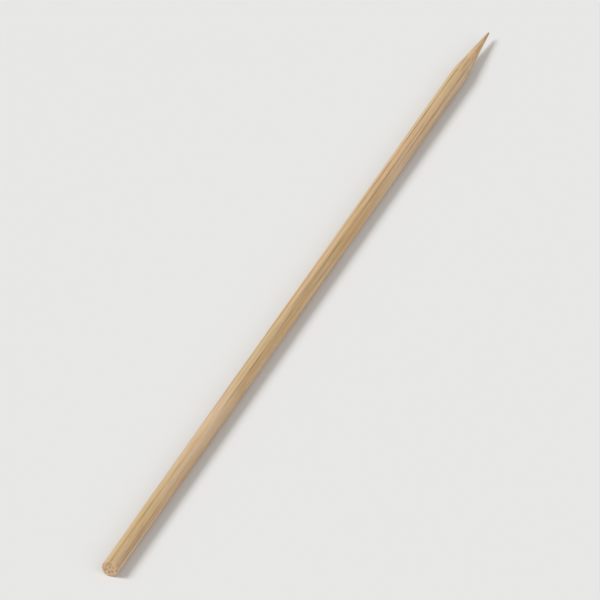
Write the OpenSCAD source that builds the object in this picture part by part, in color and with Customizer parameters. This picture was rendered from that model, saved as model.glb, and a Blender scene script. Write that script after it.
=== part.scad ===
// Round bamboo skewer: one splint with a straight shank, a long ground point and a sawn butt end.
// Millimetres, +Z up. The skewer lies along X with its point towards +X.
// The origin is the centre of the butt end's flat face.

/* [Shank] */
// Overall length, from the butt end to the end of the point
overall_l = 180; // [100:1:400]
// Diameter of the round shank
shank_d = 3; // [2:0.1:5]

/* [Point] */
// Length of the point, from where its cone leaves the shank to its end
point_l = 15; // [10:0.5:40]
// Radius of the slightly blunt end of the point
tip_r = 0.2; // [0.1:0.05:0.6]
// Radius of the soft shoulder between the shank and the point
shoulder_r = 25; // [5:1:40]

/* [Butt end] */
// Rounding of the sawn edge
butt_edge_r = 0.15; // [0.05:0.05:0.5]

/* [Hidden] */
$fn = 96;
shank_r = shank_d / 2;
cone_x = overall_l - point_l;
tip_x = overall_l - tip_r;
// The cone's side is the line from the shank's edge that just touches the tip's ball
tip_run = tip_x - cone_x;
cone_angle = atan2(shank_r, tip_run) - asin(tip_r / norm([shank_r, tip_run]));
shoulder_x = cone_x - shoulder_r * tan(cone_angle / 2);

// Points of an arc in the plane of the section, as [distance from the axis, place along it]
function arc(axis_r, along, radius, from, to, steps) = [
    for (i = [0:steps])
        let (a = from + (to - from) * i / steps)
            [axis_r + radius * sin(a), along + radius * cos(a)]
];

// Half of the skewer's section, from the centre of the butt end round to the end of the point
function half_section() = concat(
    [[0, 0]],
    arc(shank_r - butt_edge_r, butt_edge_r, butt_edge_r, 180, 90, 6),
    arc(shank_r - shoulder_r, shoulder_x, shoulder_r, 90, 90 - cone_angle, 8),
    arc(0, tip_x, tip_r, 90 - cone_angle, 0, 8)
);

module skewer() {
    color("burlywood")
        rotate([0, 90, 0])
            rotate_extrude()
                polygon(half_section());
}

skewer();
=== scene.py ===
"""The look of a round bamboo skewer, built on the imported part.

Blender works in metres. Lengths here are in millimetres unless a comment gives another unit, and MM turns
them into metres. The skewer lies along X with its point towards +X, and the butt end's face is at x = 0.
"""

import math

import bpy
import numpy as np
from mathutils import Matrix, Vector


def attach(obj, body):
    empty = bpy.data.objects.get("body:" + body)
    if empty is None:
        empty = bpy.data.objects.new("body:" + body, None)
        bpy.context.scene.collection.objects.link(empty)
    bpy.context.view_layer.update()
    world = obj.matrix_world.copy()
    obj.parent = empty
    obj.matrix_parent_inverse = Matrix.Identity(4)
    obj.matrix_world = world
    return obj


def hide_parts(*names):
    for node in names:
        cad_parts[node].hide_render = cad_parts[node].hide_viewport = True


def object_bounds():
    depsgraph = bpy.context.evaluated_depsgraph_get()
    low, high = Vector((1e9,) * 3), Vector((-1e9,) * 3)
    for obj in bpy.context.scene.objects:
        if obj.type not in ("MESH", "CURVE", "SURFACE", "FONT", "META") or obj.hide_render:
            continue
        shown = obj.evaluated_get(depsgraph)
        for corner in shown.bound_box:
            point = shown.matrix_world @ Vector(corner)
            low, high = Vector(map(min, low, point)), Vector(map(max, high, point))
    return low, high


MM = 0.001

# Form, as in the part's source
POINT_L = 15.0
TIP_R = 0.2
SHOULDER_R = 25.0
BUTT_EDGE_R = 0.15

# Mesh: points round the skewer, places and steps of its rings, and rings in each small rounding
SEGMENTS = 192
FIRST_RING = 0.25
SHANK_STEP = 0.75
POINT_STEP = 0.2
FINE_BEFORE_POINT = 2.0
EDGE_RINGS = 6
BALL_RINGS = 7
BUTT_RINGS = 14

# Map, one unit wide: the side in strips, and the butt end's face drawn a little larger
MAP_STRIPS = 4
MAP_GAP = 0.011
FACE_ZOOM = 1.6

# Fibre bundles: their spacing, and how they lie in the skewer
BUNDLE_PITCH = 0.66
BUNDLE_DISORDER = 0.65
OUTER_CROWDING = 0.16
OUTER_SIDE = math.radians(62)
TILT_Y = 0.0062
TILT_Z = -0.0035
WANDER = 0.16
WANDER_PERIOD = 80.0
WANDER_SEED = 3.7

# Parts of a bundle, in its pitch: place outwards, place sideways, radius and width of the soft edge
OUTER_CAP = (0.2, 0.0, 0.2, 0.06)
INNER_CAP = (-0.21, 0.0, 0.16, 0.06)
SIDE_CAPS = (0.0, 0.22, 0.15, 0.06)
HEART = (0.0, 0.0, 0.33, 0.06)
WIDE_VESSELS = (-0.02, 0.12, 0.07, 0.04)
NARROW_VESSEL = (-0.13, 0.0, 0.04, 0.04)

# How uneven the edges of those parts are, and the scale of the smallest and the largest bundle
RAGGEDNESS = 0.16
SMALLEST_BUNDLE = 1 / 1.2
LARGEST_BUNDLE = 1 / 0.85

# Noise drawn out along the fibres: its length, thickness and octaves, and its roughness if not the usual
RAGGED_EDGES = (20.0, 0.09, 1.0)
WARM_STREAKS = (34.0, 1.3, 2.0)
GREEN_STREAKS = (60.0, 2.5, 1.0)
FAINT_STRETCHES = (16.0, 0.8, 2.0)
OPEN_STRETCHES = (12.0, 0.5, 2.0)
GRAIN = (4.5, 0.07, 3.0, 0.65)
DIE_FLATS = (55.0, 1.6, 1.0)
SAWN_STEPS = (9.0, 0.35, 1.0)
GRINDING_MARKS = (0.06, 2.5, 2.0)

# Marks of the saw on the butt end
SAW_MARK_WIDTH = 0.09
SAW_MARK_LENGTH = 2.5

# Fades: where a noise starts and ends to show, and its least and most where these aren't 0 and 1
WARM_FADE = (0.34, 0.72)
GREEN_FADE = (0.4, 0.6)
FAINT_FADE = (0.3, 0.65, 0.5, 1.0)
OPEN_FADE = (0.42, 0.52)
GRAIN_FADE = (0.25, 0.75, 0.84, 1.1)
DIE_FLATS_FADE = (0.42, 0.62)
SAWN_STEPS_FADE = (0.35, 0.7)

# The same for a bundle's own number, which sets how strong its colour and its ridge are
OWN_SHADE_FADE = (0.1, 0.9, 0.45, 1.0)
OWN_RIDGE_FADE = (0.0, 0.6, 0.35, 1.0)

# The same for the distance from a bundle's core, in its pitch
RIDGE_FADE = (0.47, 0.15)

# The same for a distance from the axis, from the butt end or from the point's start
GREEN_SIDE_FADE = (0.1, 1.4)
SAWN_RELIEF_FADE = (0.12, 0.02)
SAWN_FADE = (0.14, 0.05)
GROUND_FADE = (-1.2, 0.6)

# How far the edge of the ground part moves with the grain
GROUND_EDGE_WANDER = 2.5

# Relief, cut into the form and never added to it, and the share of it that is left at the tip
BUNDLE_RELIEF = 0.022
DIE_RELIEF = 0.013
SAW_RELIEF = 0.035
TIP_SHARE = 0.25

# Colours, linear
PALE_PITH = (0.714, 0.511, 0.323, 1)
WARM_PITH = (0.640, 0.404, 0.186, 1)
GREEN_PITH = (0.590, 0.465, 0.228, 1)
FIBRE = (0.400, 0.213, 0.085, 1)
# Painted shade: the dark colour put in the holes of the open vessels
VESSEL_HOLE_SHADE = (0.160, 0.070, 0.028, 1)
FLOOR = (0.80, 0.80, 0.79, 1)

# How strongly each of these shows, from 0 to 1
GREEN_SHARE = 0.6
HEART_SHARE = 0.6
SAWN_BUNDLE_SHARE = 0.9
GROUND_BUNDLE_SHARE = 0.85
BUNDLE_SHARE = 0.72
# How strongly the painted shade in the open vessels' holes shows
VESSEL_SHADE_SHARE = 0.7
SAWN_PALENESS = 0.45
GROUND_PALENESS = 0.25

# Surface: its gloss, its roughness and what changes it, and its bump, in shares of BUMP_DEPTH
IOR = 1.5
SPECULAR = 0.45
ROUGHNESS = 0.52
BUNDLE_ROUGHNESS = -0.1
CUT_ROUGHNESS = 0.16
GRAIN_ROUGHNESS = 0.2
BUMP_DEPTH = 0.03
BUMP_STRENGTH = 0.7
GRAIN_BUMP = 0.8
VESSEL_BUMP = -1.2
BUNDLE_BUMP = 0.3
GRINDING_BUMP = 0.5
SAW_BUMP = 0.6

# Light: where each lamp stands, its width in degrees and its strength, and the strength of the room
KEY_LIGHT = ((-0.25, 0.75, 0.9), 26, 2.0)
FILL_LIGHT = ((-0.5, -0.9, 0.7), 50, 0.8)
ROOM_LIGHT = 0.38

# Floor: half its width, in metres, and its dull surface
FLOOR_HALF_M = 6.0
FLOOR_ROUGHNESS = 0.9
FLOOR_SPECULAR = 0.1

# Camera, as the photograph's: its direction and its distance in metres, with a lens for one skewer
AZIMUTH = math.radians(291.5)
ELEVATION = math.radians(33.9)
DISTANCE_M = 1.87
LENS = 645.0
AIM_X = -3.0

# The nearest and the farthest that the camera sees, in metres
NEAREST_M = 0.1
FARTHEST_M = 20.0

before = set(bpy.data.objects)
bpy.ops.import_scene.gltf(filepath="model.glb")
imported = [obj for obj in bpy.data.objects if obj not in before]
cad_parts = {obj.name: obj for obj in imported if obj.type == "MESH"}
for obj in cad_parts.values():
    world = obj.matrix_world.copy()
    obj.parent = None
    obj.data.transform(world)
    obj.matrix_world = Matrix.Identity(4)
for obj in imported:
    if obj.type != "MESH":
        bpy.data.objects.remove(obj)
cad_low, cad_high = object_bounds()
LENGTH = (cad_high.x - cad_low.x) / MM
SHANK_R = (cad_high.z - cad_low.z) / 2 / MM
STRIP_L = LENGTH / MAP_STRIPS
MAP_SCALE = (1 - 2 * MAP_GAP) / STRIP_L
STRIP_H = 2 * math.pi * SHANK_R * MAP_SCALE


class Graph:
    """Adds nodes to a shader tree or a geometry tree. A value may be a socket or a number."""

    def __init__(self, tree):
        self.tree = tree

    def add(self, kind, **settings):
        node = self.tree.nodes.new(kind)
        for name, value in settings.items():
            setattr(node, name, value)
        return node

    def feed(self, socket, value):
        if isinstance(value, bpy.types.NodeSocket):
            self.tree.links.new(value, socket)
        else:
            socket.default_value = value

    def math(self, operation, *values):
        node = self.add("ShaderNodeMath", operation=operation)
        for socket, value in zip(node.inputs, values):
            self.feed(socket, value)
        return node.outputs[0]

    def times(self, value, *others):
        for other in others:
            value = self.math("MULTIPLY", value, other)
        return value

    def plus(self, base, value, share=1.0):
        """base and a share of value."""
        return self.math("MULTIPLY_ADD", value, share, base)

    def largest(self, value, *others):
        for other in others:
            value = self.math("MAXIMUM", value, other)
        return value

    def centred(self, noise):
        return self.math("SUBTRACT", noise, 0.5)

    def vector(self, x, y, z):
        node = self.add("ShaderNodeCombineXYZ")
        for socket, value in zip(node.inputs, (x, y, z)):
            self.feed(socket, value)
        return node.outputs[0]

    def split(self, vector):
        node = self.add("ShaderNodeSeparateXYZ")
        self.feed(node.inputs[0], vector)
        return tuple(node.outputs)

    def vectors(self, operation, a, b, output="Vector"):
        node = self.add("ShaderNodeVectorMath", operation=operation)
        self.feed(node.inputs[0], a)
        self.feed(node.inputs[1], b)
        return node.outputs[output]

    def scaled(self, vector, factor):
        node = self.add("ShaderNodeVectorMath", operation="SCALE")
        self.feed(node.inputs["Vector"], vector)
        self.feed(node.inputs["Scale"], factor)
        return node.outputs["Vector"]

    def noise(self, vector, detail=2.0, roughness=0.5, output="Fac"):
        node = self.add("ShaderNodeTexNoise")
        self.feed(node.inputs["Vector"], vector)
        self.feed(node.inputs["Scale"], 1.0)
        self.feed(node.inputs["Detail"], detail)
        self.feed(node.inputs["Roughness"], roughness)
        return node.outputs[output]

    def fade(self, value, start, end, low=0.0, high=1.0):
        """Goes smoothly from low at start to high at end. start may be the larger."""
        node = self.add("ShaderNodeMapRange", interpolation_type="SMOOTHSTEP")
        if start > end:
            start, end, low, high = end, start, high, low
        self.feed(node.inputs["Value"], value)
        self.feed(node.inputs["From Min"], start)
        self.feed(node.inputs["From Max"], end)
        self.feed(node.inputs["To Min"], low)
        self.feed(node.inputs["To Max"], high)
        return node.outputs["Result"]

    def mix(self, share, a, b, blend="MIX"):
        node = self.add("ShaderNodeMix", data_type="RGBA", blend_type=blend)
        sockets = [socket for socket in node.inputs if socket.enabled]
        for socket, value in zip(sockets, (share, a, b)):
            self.feed(socket, value)
        return next(socket for socket in node.outputs if socket.enabled)


class Fibres:
    """The bamboo's inner pattern. It fills the skewer, so its side, point and butt end agree."""

    def __init__(self, g, position):
        self.g = g
        self.x, y, z = g.split(g.scaled(position, 1 / MM))
        drift = g.noise(g.vector(g.math("DIVIDE", self.x, WANDER_PERIOD), WANDER_SEED, 0.0), output="Color")
        _, drift_y, drift_z = g.split(drift)
        y = g.plus(g.plus(y, self.x, TILT_Y), g.centred(drift_y), WANDER)
        z = g.plus(g.plus(z, self.x, TILT_Z), g.centred(drift_z), WANDER)
        # out points to the outer side of the culm's wall, and across runs along the wall
        turn_cos, turn_sin = math.cos(OUTER_SIDE), math.sin(OUTER_SIDE)
        self.out = g.plus(g.times(z, turn_sin), y, turn_cos)
        self.across = g.plus(g.times(z, turn_cos), y, -turn_sin)

        # Bundles lie closer together towards the outer side, and each has two random numbers of its own
        crowded = g.plus(self.out, g.times(self.out, self.out), OUTER_CROWDING)
        place = g.scaled(g.vector(crowded, self.across, 0.0), 1 / BUNDLE_PITCH)
        bundles = g.add("ShaderNodeTexVoronoi", voronoi_dimensions="2D", feature="F1")
        g.feed(bundles.inputs["Vector"], place)
        g.feed(bundles.inputs["Scale"], 1.0)
        g.feed(bundles.inputs["Randomness"], BUNDLE_DISORDER)
        self.from_core = bundles.outputs["Distance"]
        self.own, own_size, _ = g.split(bundles.outputs["Color"])

        # The place within the bundle: outwards, and along the wall with both sides alike
        outwards, sideways, _ = g.split(g.vectors("SUBTRACT", place, bundles.outputs["Position"]))
        within = g.vector(outwards, g.math("ABSOLUTE", sideways), 0.0)
        self.within = g.scaled(within, g.fade(own_size, 0.0, 1.0, 1 / SMALLEST_BUNDLE, 1 / LARGEST_BUNDLE))
        self.ragged = g.plus(-RAGGEDNESS / 2, self.streaks(*RAGGED_EDGES), RAGGEDNESS)

    def lobe(self, outwards, sideways, radius, edge):
        """A round part of every bundle, or a pair of them where sideways isn't 0."""
        distance = self.g.vectors("DISTANCE", self.within, (outwards, sideways, 0.0), "Value")
        return self.g.fade(self.g.plus(distance, self.ragged), radius, radius - edge)

    def streaks(self, length, thickness, detail, roughness=0.6):
        """Noise drawn out along the fibres."""
        place = self.g.vector(
            self.g.math("DIVIDE", self.x, length),
            self.g.math("DIVIDE", self.out, thickness),
            self.g.math("DIVIDE", self.across, thickness),
        )
        return self.g.noise(place, detail, roughness)


def cone_angle():
    """The angle of the point's side to the axis. The side just touches the tip's ball."""
    run = POINT_L - TIP_R
    return math.atan2(SHANK_R, run) - math.asin(TIP_R / math.hypot(SHANK_R, run))


def radius_at(x):
    """The skewer's radius at the places x along it."""
    angle = cone_angle()
    cone_x, ball_centre = LENGTH - POINT_L, LENGTH - TIP_R
    shoulder_x = cone_x - SHOULDER_R * math.tan(angle / 2)
    shoulder_end = shoulder_x + SHOULDER_R * math.sin(angle)
    ball_x = ball_centre + TIP_R * math.sin(angle)
    edge = SHANK_R - BUTT_EDGE_R + np.sqrt(np.maximum(BUTT_EDGE_R**2 - (BUTT_EDGE_R - x) ** 2, 0))
    shoulder = SHANK_R - SHOULDER_R + np.sqrt(SHOULDER_R**2 - np.clip(x - shoulder_x, 0, SHOULDER_R) ** 2)
    side = (cone_x - x) * math.tan(angle) + SHANK_R
    ball = np.sqrt(np.maximum(TIP_R**2 - (x - ball_centre) ** 2, 0))
    stretches = [x < BUTT_EDGE_R, x < shoulder_x, x < shoulder_end, x < ball_x]
    return np.select(stretches, [edge, np.full_like(x, SHANK_R), shoulder, side], ball)


def ring_places():
    """Where the mesh's rings lie along the skewer, from the butt end's face to just before the tip."""
    angle = cone_angle()
    fine_x = LENGTH - POINT_L - FINE_BEFORE_POINT
    ball_centre = LENGTH - TIP_R
    ball_x = ball_centre + TIP_R * math.sin(angle)
    edge = BUTT_EDGE_R * (1 - np.cos(np.linspace(0, math.pi / 2, EDGE_RINGS)))
    shank = np.arange(SHANK_STEP, fine_x - SHANK_STEP / 2, SHANK_STEP)
    point = np.linspace(fine_x, ball_x, round((ball_x - fine_x) / POINT_STEP))
    ball = ball_centre + TIP_R * np.sin(np.linspace(angle, math.pi / 2, BALL_RINGS)[1:-1])
    return np.concatenate([edge, [FIRST_RING], shank, point, ball])


def point_number(ring, segment):
    return ring * SEGMENTS + segment % SEGMENTS


def side_place(along, segment, strip):
    """Where a place on the side lies in the map."""
    u = MAP_GAP + (along - strip * STRIP_L) * MAP_SCALE
    v = MAP_GAP + strip * (STRIP_H + MAP_GAP) + segment / SEGMENTS * STRIP_H
    return u, v


def butt_place(radius, segment):
    """Where a place on the butt end lies in the map."""
    angle = 2 * math.pi * segment / SEGMENTS
    scale = FACE_ZOOM * MAP_SCALE
    u = MAP_GAP + scale * SHANK_R + scale * radius * math.sin(angle)
    v = 1 - MAP_GAP - scale * SHANK_R - scale * radius * math.cos(angle)
    return u, v


def side_faces(x, tip):
    """The faces from the butt end's edge to the tip. Each corner is a point and its place in the map."""
    def corner(ring, segment, strip):
        return point_number(ring, segment), side_place(x[ring], segment, strip)

    faces = []
    last_ring, last_strip = len(x) - 1, MAP_STRIPS - 1
    for ring in range(last_ring):
        strip = min(int((x[ring] + x[ring + 1]) / 2 / STRIP_L), last_strip)
        for segment in range(SEGMENTS):
            square = ((ring, segment), (ring, segment + 1), (ring + 1, segment + 1), (ring + 1, segment))
            faces.append([corner(*place, strip) for place in square])
    for segment in range(SEGMENTS):
        base = [corner(last_ring, segment + turn, last_strip) for turn in (0, 1)]
        faces.append([*base, (tip, side_place(LENGTH, segment + 0.5, last_strip))])
    return faces


def butt_faces(circles, centre):
    """The faces of the butt end, from its edge to its centre. circles are its rings and their radii."""
    def corner(circle, segment):
        ring, radius = circle
        return point_number(ring, segment), butt_place(radius, segment)

    faces = []
    for outer, inner in zip(circles, circles[1:]):
        for segment in range(SEGMENTS):
            square = ((outer, segment), (inner, segment), (inner, segment + 1), (outer, segment + 1))
            faces.append([corner(*place) for place in square])
    for segment in range(SEGMENTS):
        start, end = (corner(circles[-1], segment + turn) for turn in (0, 1))
        faces.append([start, (centre, butt_place(0.0, 0)), end])
    return faces


def smooth_form():
    """The skewer's true form as a closed mesh with its map."""
    x = ring_places()
    r = radius_at(x)
    turn = 2 * math.pi * np.arange(SEGMENTS) / SEGMENTS
    face_r = r[0] * (1 - np.arange(1, BUTT_RINGS) / BUTT_RINGS)
    ring_x = np.concatenate([x, np.zeros(len(face_r))])
    ring_r = np.concatenate([r, face_r])
    rings = [
        np.stack([np.full(SEGMENTS, along), radius * np.sin(turn), -radius * np.cos(turn)], 1)
        for along, radius in zip(ring_x, ring_r)
    ]
    points = np.concatenate([*rings, [[LENGTH, 0, 0], [0, 0, 0]]])
    tip, centre = len(points) - 2, len(points) - 1
    circles = [(0, r[0])] + [(len(x) + ring, radius) for ring, radius in enumerate(face_r)]
    faces = side_faces(x, tip) + butt_faces(circles, centre)

    mesh = bpy.data.meshes.new("bamboo_skewer")
    mesh.from_pydata((points * MM).tolist(), [], [[point for point, _ in face] for face in faces])
    places = [place for face in faces for _, place in face]
    layer = mesh.uv_layers.new(name="OFBake")
    layer.data.foreach_set("uv", np.array(places, np.float32).ravel())
    mesh.polygons.foreach_set("use_smooth", np.ones(len(faces), bool))
    mesh.update()
    return mesh


def relief_tree():
    """Sinks each point of the form a little: beside the bundles, in the die's flats and in the sawn end."""
    tree = bpy.data.node_groups.new("bamboo_relief", "GeometryNodeTree")
    tree.interface.new_socket("Geometry", in_out="INPUT", socket_type="NodeSocketGeometry")
    tree.interface.new_socket("Geometry", in_out="OUTPUT", socket_type="NodeSocketGeometry")
    g = Graph(tree)
    fibres = Fibres(g, g.add("GeometryNodeInputPosition").outputs[0])
    # The relief gets shallower along the point, as the form gets thinner
    tip_share = g.fade(fibres.x, LENGTH, LENGTH - POINT_L, TIP_SHARE, 1.0)
    ridge = g.times(g.fade(fibres.from_core, *RIDGE_FADE), g.fade(fibres.own, *OWN_RIDGE_FADE))
    beside = g.math("SUBTRACT", 1.0, ridge)
    flats = g.fade(fibres.streaks(*DIE_FLATS), *DIE_FLATS_FADE)
    depth = g.plus(g.times(beside, BUNDLE_RELIEF, tip_share), g.times(flats, DIE_RELIEF), tip_share)
    sawn = g.fade(fibres.x, *SAWN_RELIEF_FADE)
    steps = g.fade(fibres.streaks(*SAWN_STEPS), *SAWN_STEPS_FADE)
    depth = g.plus(depth, g.times(sawn, steps, SAW_RELIEF))

    normal = g.add("GeometryNodeInputNormal").outputs[0]
    move = g.add("GeometryNodeSetPosition")
    g.feed(move.inputs["Geometry"], g.add("NodeGroupInput").outputs[0])
    g.feed(move.inputs["Offset"], g.scaled(normal, g.times(depth, -MM)))
    g.feed(g.add("NodeGroupOutput").inputs[0], move.outputs[0])
    return tree


def pith_colour(g, fibres, sawn):
    """Pale and warm stretches, greener towards the culm's outer side, and paler where it is sawn."""
    warm = g.fade(fibres.streaks(*WARM_STREAKS), *WARM_FADE)
    green = g.fade(fibres.streaks(*GREEN_STREAKS), *GREEN_FADE)
    green = g.times(g.fade(fibres.out, *GREEN_SIDE_FADE), green)
    pith = g.mix(warm, PALE_PITH, WARM_PITH)
    pith = g.mix(g.times(green, GREEN_SHARE), pith, GREEN_PITH)
    return g.mix(g.times(sawn, SAWN_PALENESS), pith, PALE_PITH)


def bundle_shade(g, fibres, ground, sawn):
    """The fibre caps round each bundle's heart. They come and go along the side, and show well where cut."""
    own_strength = g.fade(fibres.own, *OWN_SHADE_FADE)
    ebb = g.fade(fibres.streaks(*FAINT_STRETCHES), *FAINT_FADE)
    strength = g.largest(
        g.times(own_strength, ebb),
        g.times(ground, GROUND_BUNDLE_SHARE),
        g.times(sawn, SAWN_BUNDLE_SHARE),
    )
    caps = g.largest(*(fibres.lobe(*cap) for cap in (OUTER_CAP, INNER_CAP, SIDE_CAPS)))
    heart = g.times(fibres.lobe(*HEART), HEART_SHARE)
    return g.times(g.largest(caps, heart), strength)


def open_vessels(g, fibres, sawn):
    """Two vessels side by side in each bundle and a smaller one inwards, open where they are cut. Their
    holes sink in the bump and get painted shade in the colour.
    """
    vessels = g.largest(fibres.lobe(*WIDE_VESSELS), fibres.lobe(*NARROW_VESSEL))
    stretches = g.fade(fibres.streaks(*OPEN_STRETCHES), *OPEN_FADE)
    return g.times(vessels, g.largest(stretches, sawn))


def cut_marks(g, fibres, ground, sawn):
    """Grinding marks run round the point, and the saw's straight across the butt end."""
    grinding = g.times(fibres.streaks(*GRINDING_MARKS), ground, GRINDING_BUMP)
    over = g.math("DIVIDE", fibres.out, SAW_MARK_WIDTH)
    along = g.math("DIVIDE", fibres.across, SAW_MARK_LENGTH)
    sawing = g.times(g.noise(g.vector(over, along, 0.0)), sawn)
    return g.plus(grinding, sawing, SAW_BUMP)


def bamboo():
    """Dried bamboo with a satin side, and a matte point and butt end."""
    material = bpy.data.materials.new("bamboo_fibres")
    material.use_nodes = True
    shader = material.node_tree.nodes["Principled BSDF"]
    g = Graph(material.node_tree)
    fibres = Fibres(g, g.add("ShaderNodeTexCoord").outputs["Object"])
    grain = fibres.streaks(*GRAIN)
    sawn = g.fade(fibres.x, *SAWN_FADE)
    from_point = g.plus(g.math("SUBTRACT", fibres.x, LENGTH - POINT_L), g.centred(grain), GROUND_EDGE_WANDER)
    ground = g.fade(from_point, *GROUND_FADE)
    bundle = bundle_shade(g, fibres, ground, sawn)
    vessel_holes = open_vessels(g, fibres, sawn)

    colour = g.mix(g.times(bundle, BUNDLE_SHARE), pith_colour(g, fibres, sawn), FIBRE)
    colour = g.mix(1.0, colour, g.fade(grain, *GRAIN_FADE), "MULTIPLY")
    # Painted shade darkens the holes of the open vessels
    colour = g.mix(g.times(vessel_holes, VESSEL_SHADE_SHARE), colour, VESSEL_HOLE_SHADE)
    colour = g.mix(g.times(ground, GROUND_PALENESS), colour, PALE_PITH)
    g.feed(shader.inputs["Base Color"], colour)

    rough = g.plus(ROUGHNESS, bundle, BUNDLE_ROUGHNESS)
    rough = g.plus(rough, g.largest(ground, sawn), CUT_ROUGHNESS)
    rough = g.plus(rough, g.centred(grain), GRAIN_ROUGHNESS)
    g.feed(shader.inputs["Roughness"], rough)
    shader.inputs["IOR"].default_value = IOR
    shader.inputs["Specular IOR Level"].default_value = SPECULAR

    height = g.plus(g.times(grain, GRAIN_BUMP), vessel_holes, VESSEL_BUMP)
    height = g.plus(height, bundle, BUNDLE_BUMP)
    height = g.plus(height, cut_marks(g, fibres, ground, sawn))
    bump = g.add("ShaderNodeBump")
    bump.inputs["Strength"].default_value = BUMP_STRENGTH
    bump.inputs["Distance"].default_value = BUMP_DEPTH * MM
    g.feed(bump.inputs["Height"], height)
    g.feed(shader.inputs["Normal"], bump.outputs[0])
    return material


def skewer():
    """The smooth form with its relief worked in, in place of the plain solid."""
    piece = bpy.data.objects.new("bamboo_skewer", smooth_form())
    bpy.context.collection.objects.link(piece)
    relief = piece.modifiers.new("relief", "NODES")
    relief.node_group = relief_tree()
    bpy.context.view_layer.update()
    shaped = piece.evaluated_get(bpy.context.evaluated_depsgraph_get())
    mesh = bpy.data.meshes.new_from_object(shaped)
    piece.modifiers.clear()
    piece.data = mesh
    mesh.materials.clear()
    mesh.materials.append(bamboo())
    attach(piece, "root")
    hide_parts("skewer")


def floor():
    """A pale matte floor at the height that the skewer lies on."""
    half, z = FLOOR_HALF_M, cad_low.z
    mesh = bpy.data.meshes.new("floor")
    corners = [(-half, -half, z), (half, -half, z), (half, half, z), (-half, half, z)]
    mesh.from_pydata(corners, [], [(0, 1, 2, 3)])
    material = bpy.data.materials.new("floor")
    material.use_nodes = True
    shader = material.node_tree.nodes["Principled BSDF"]
    shader.inputs["Base Color"].default_value = FLOOR
    shader.inputs["Roughness"].default_value = FLOOR_ROUGHNESS
    shader.inputs["Specular IOR Level"].default_value = FLOOR_SPECULAR
    mesh.materials.append(material)
    piece = bpy.data.objects.new("floor", mesh)
    bpy.context.collection.objects.link(piece)


def soft_light(name, direction, width, strength):
    """A broad lamp far away in the given direction, so that it lights the whole floor evenly."""
    lamp = bpy.data.lights.new(name, "SUN")
    lamp.angle = math.radians(width)
    lamp.energy = strength
    holder = bpy.data.objects.new(name, lamp)
    bpy.context.collection.objects.link(holder)
    holder.rotation_mode = "QUATERNION"
    holder.rotation_quaternion = (-Vector(direction)).to_track_quat("-Z", "Y")


def studio():
    """Soft light from above and the left of the view, a weaker one from the right, and a pale room."""
    soft_light("key_light", *KEY_LIGHT)
    soft_light("fill_light", *FILL_LIGHT)
    world = bpy.data.worlds.new("room")
    world.use_nodes = True
    background = world.node_tree.nodes["Background"]
    background.inputs["Color"].default_value = (1, 1, 1, 1)
    background.inputs["Strength"].default_value = ROOM_LIGHT
    bpy.context.scene.world = world


def camera():
    """Looks along the skewer from above its butt end, as in the photograph."""
    lens = bpy.data.cameras.new("camera")
    lens.lens = LENS
    lens.clip_start = NEAREST_M
    lens.clip_end = FARTHEST_M
    holder = bpy.data.objects.new("camera", lens)
    bpy.context.collection.objects.link(holder)
    back = Vector((
        math.sin(AZIMUTH) * math.cos(ELEVATION),
        -math.cos(AZIMUTH) * math.cos(ELEVATION),
        math.sin(ELEVATION),
    ))
    holder.location = (cad_low + cad_high) / 2 + Vector((AIM_X * MM, 0, 0)) + back * DISTANCE_M
    holder.rotation_mode = "QUATERNION"
    holder.rotation_quaternion = (-back).to_track_quat("-Z", "Y")
    bpy.context.scene.camera = holder


bpy.context.scene.view_settings.view_transform = "Standard"
skewer()
floor()
studio()
camera()
